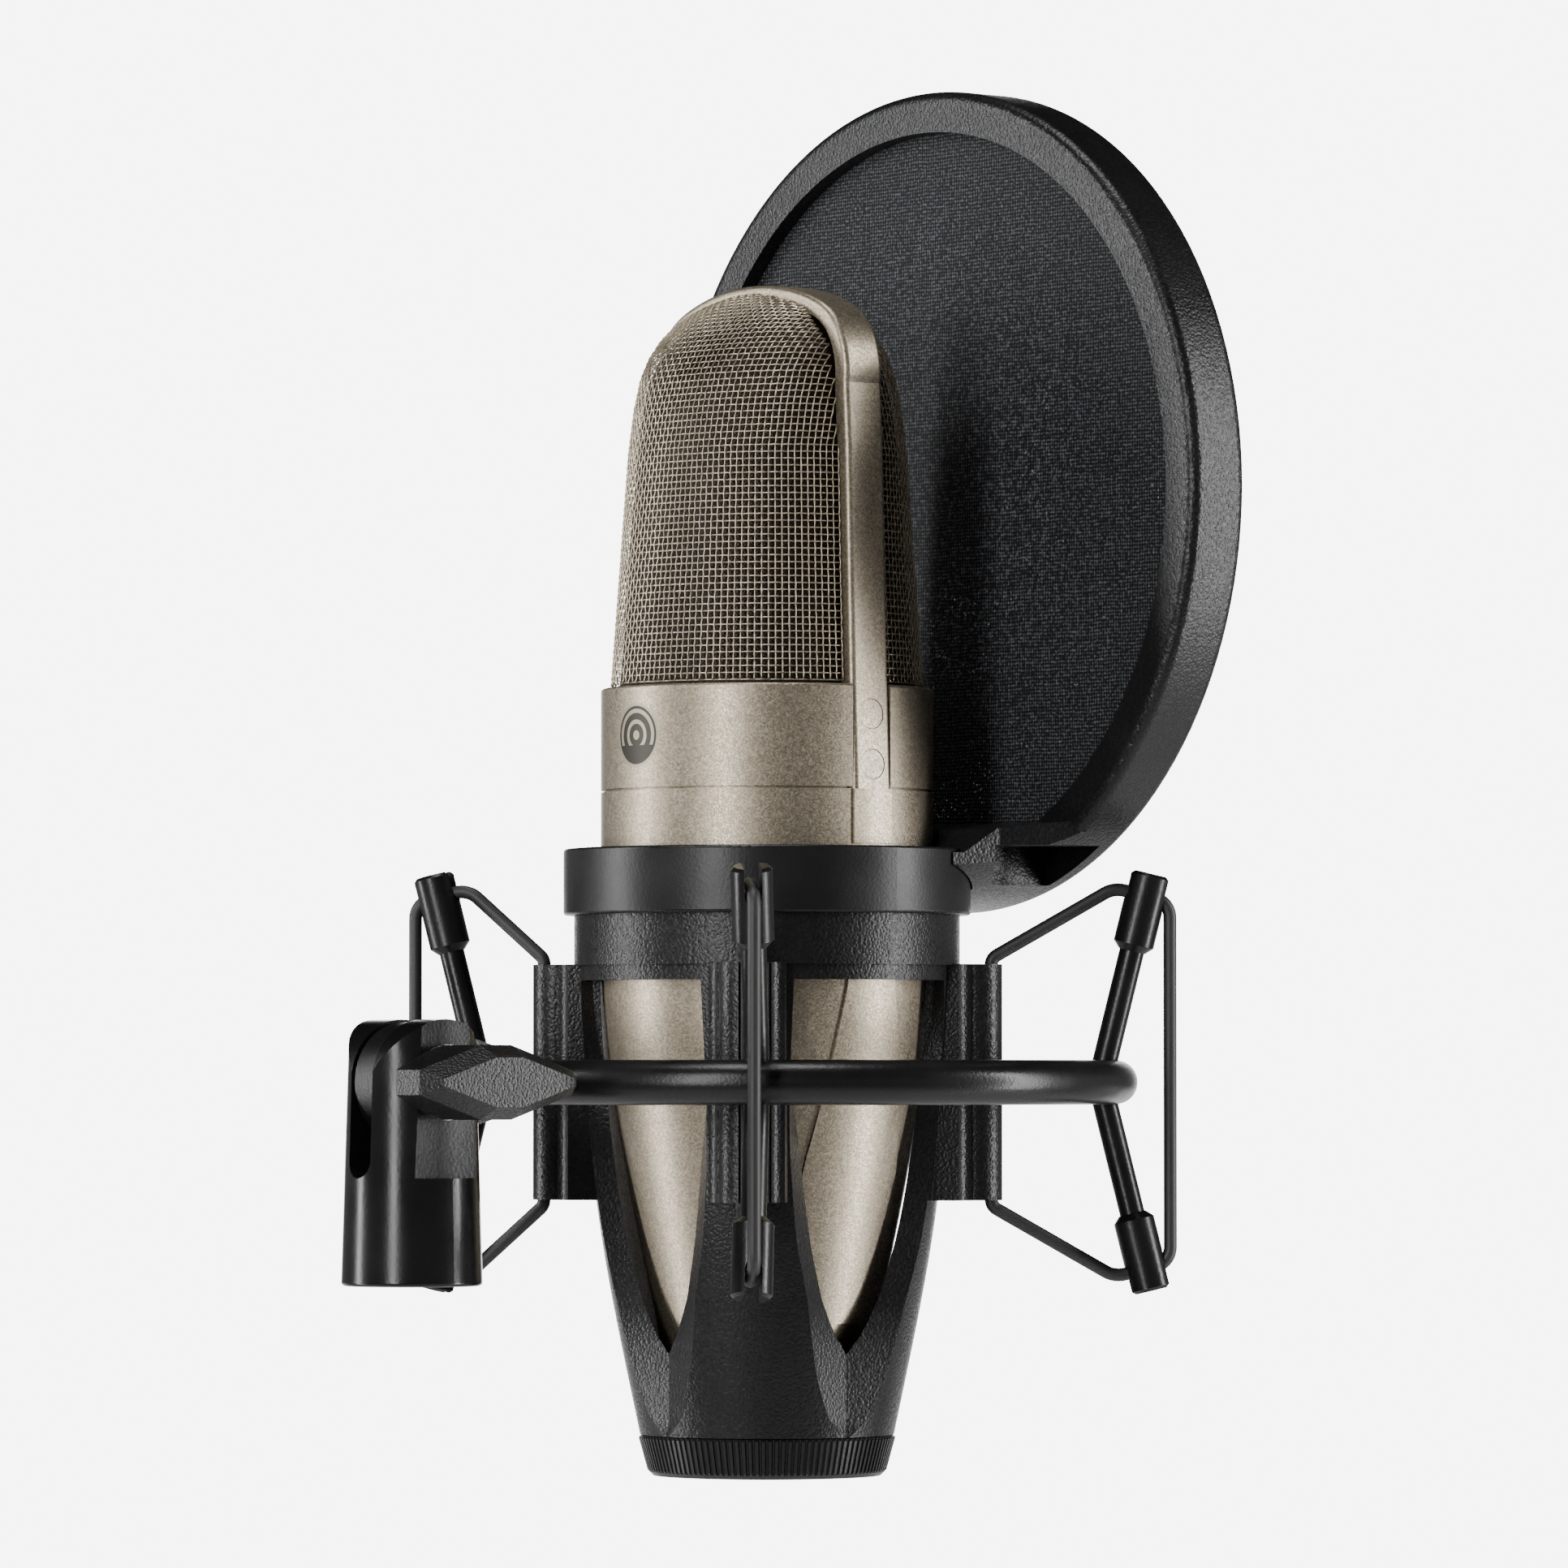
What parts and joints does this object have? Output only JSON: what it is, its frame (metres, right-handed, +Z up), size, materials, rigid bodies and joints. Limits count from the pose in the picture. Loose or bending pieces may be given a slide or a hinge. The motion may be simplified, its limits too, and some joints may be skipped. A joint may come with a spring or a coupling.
{
  "type": "condenser microphone",
  "caption": "Side-address studio condenser microphone in an elastic shock mount with a swivel stand adapter and a round fabric pop filter.",
  "frame": {"origin": "centre of the mouth of the stand adapter's thread", "axes": "+Z up along the microphone, +Y from the stand adapter towards the pop filter, +X completes a right-handed frame"},
  "size_m": [0.1328, 0.1448, 0.2224],
  "materials": {
    "satin_black_metal": "satin",
    "gloss_black_metal": "semi-gloss",
    "textured_black_plastic": "fine leather-like texture",
    "satin_black_plastic": "satin",
    "black_elastic": "soft",
    "black_rubber": "matte",
    "champagne_paint": "satin metallic",
    "champagne_mesh": "woven wire",
    "fine_mesh": "woven wire",
    "badge_print": "printed",
    "brass": "satin",
    "zinc_steel": "satin",
    "nylon": "matte",
    "capsule_plastic": "matte",
    "gold_film": "gold sputtered film",
    "circuit_green": "solder resist",
    "component_mix": "moulded",
    "silver_contact": "plated",
    "filter_fabric": "fine knit"
  },
  "bodies": {
    "stand_adapter": {"adapter_body": "gloss_black_metal", "thread_sleeve": "brass", "pivot_bolt": "zinc_steel", "friction_washers": "nylon", "thrust_washer": "zinc_steel"},
    "clamp_knob": {"wing_knob": "textured_black_plastic", "knob_bush": "brass"},
    "suspension_ring": {"pivot_lug": "satin_black_metal", "ring_tube": "satin_black_metal", "post_rod_1": "satin_black_metal", "fork_head_upper_1": "satin_black_metal", "fork_head_lower_1": "satin_black_metal", "elastic_band_1": "black_elastic", "post_rod_2": "satin_black_metal", "fork_head_upper_2": "satin_black_metal", "fork_head_lower_2": "satin_black_metal", "elastic_band_2": "black_elastic", "post_rod_3": "satin_black_metal", "fork_head_upper_3": "satin_black_metal", "fork_head_lower_3": "satin_black_metal", "elastic_band_3": "black_elastic", "post_rod_4": "satin_black_metal", "fork_head_upper_4": "satin_black_metal", "fork_head_lower_4": "satin_black_metal", "elastic_band_4": "black_elastic"},
    "microphone_cradle": {"cradle_basket": "textured_black_plastic", "collar": "satin_black_plastic", "collar_liner": "black_rubber", "lower_body": "champagne_paint", "upper_band": "champagne_paint", "strap_frame": "champagne_paint", "strap_plugs": "champagne_paint", "strap_screws": "zinc_steel", "badge": "badge_print", "grille_front": "champagne_mesh", "grille_rear": "champagne_mesh", "inner_mesh_front": "fine_mesh", "inner_mesh_rear": "fine_mesh", "head_deck": "zinc_steel", "capsule_ring_front": "brass", "capsule_ring_rear": "brass", "diaphragm_front": "gold_film", "diaphragm_rear": "gold_film", "backplate_front": "brass", "backplate_rear": "brass", "capsule_spacer": "capsule_plastic", "capsule_saddle": "capsule_plastic", "capsule_isolator": "black_rubber", "circuit_board": "circuit_green", "chassis_rails": "zinc_steel", "components": "component_mix", "threaded_base": "champagne_paint", "connector_insert": "capsule_plastic", "contact_pins": "silver_contact"},
    "retaining_nut": {"retaining_ring": "satin_black_plastic"},
    "pop_filter": {"hoop_near": "textured_black_plastic", "hoop_far": "textured_black_plastic", "fabric_near": "filter_fabric", "fabric_far": "filter_fabric", "fabric_spacer": "satin_black_plastic"}
  },
  "joints": [
    {"name": "swivel_tilt", "type": "hinge", "parent": "stand_adapter", "child": "suspension_ring", "pos_m": [0, 0, 0.0313], "axis": [1, 0, 0], "range_deg": [-30, 110]},
    {"name": "knob_turn", "type": "hinge", "parent": "stand_adapter", "child": "clamp_knob", "pos_m": [0.0178, 0, 0.0313], "axis": [1, 0, 0], "continuous": true},
    {"name": "suspension_float", "type": "slide", "parent": "suspension_ring", "child": "microphone_cradle", "axis": [0, 0, 1], "range_m": [-0.005, 0.005], "stiffness_N_per_m": 1700, "springref_m": 0.0037, "deforming": ["elastic_band_1", "elastic_band_2", "elastic_band_3", "elastic_band_4"]},
    {"name": "retaining_ring_turn", "type": "hinge", "parent": "microphone_cradle", "child": "retaining_nut", "pos_m": [0, 0.0702, -0.0277], "axis": [0, 0, 1], "continuous": true},
    {"name": "pop_filter_pull", "type": "slide", "parent": "microphone_cradle", "child": "pop_filter", "axis": [0, 1, 0], "range_m": [0, 0.04]}
  ]
}
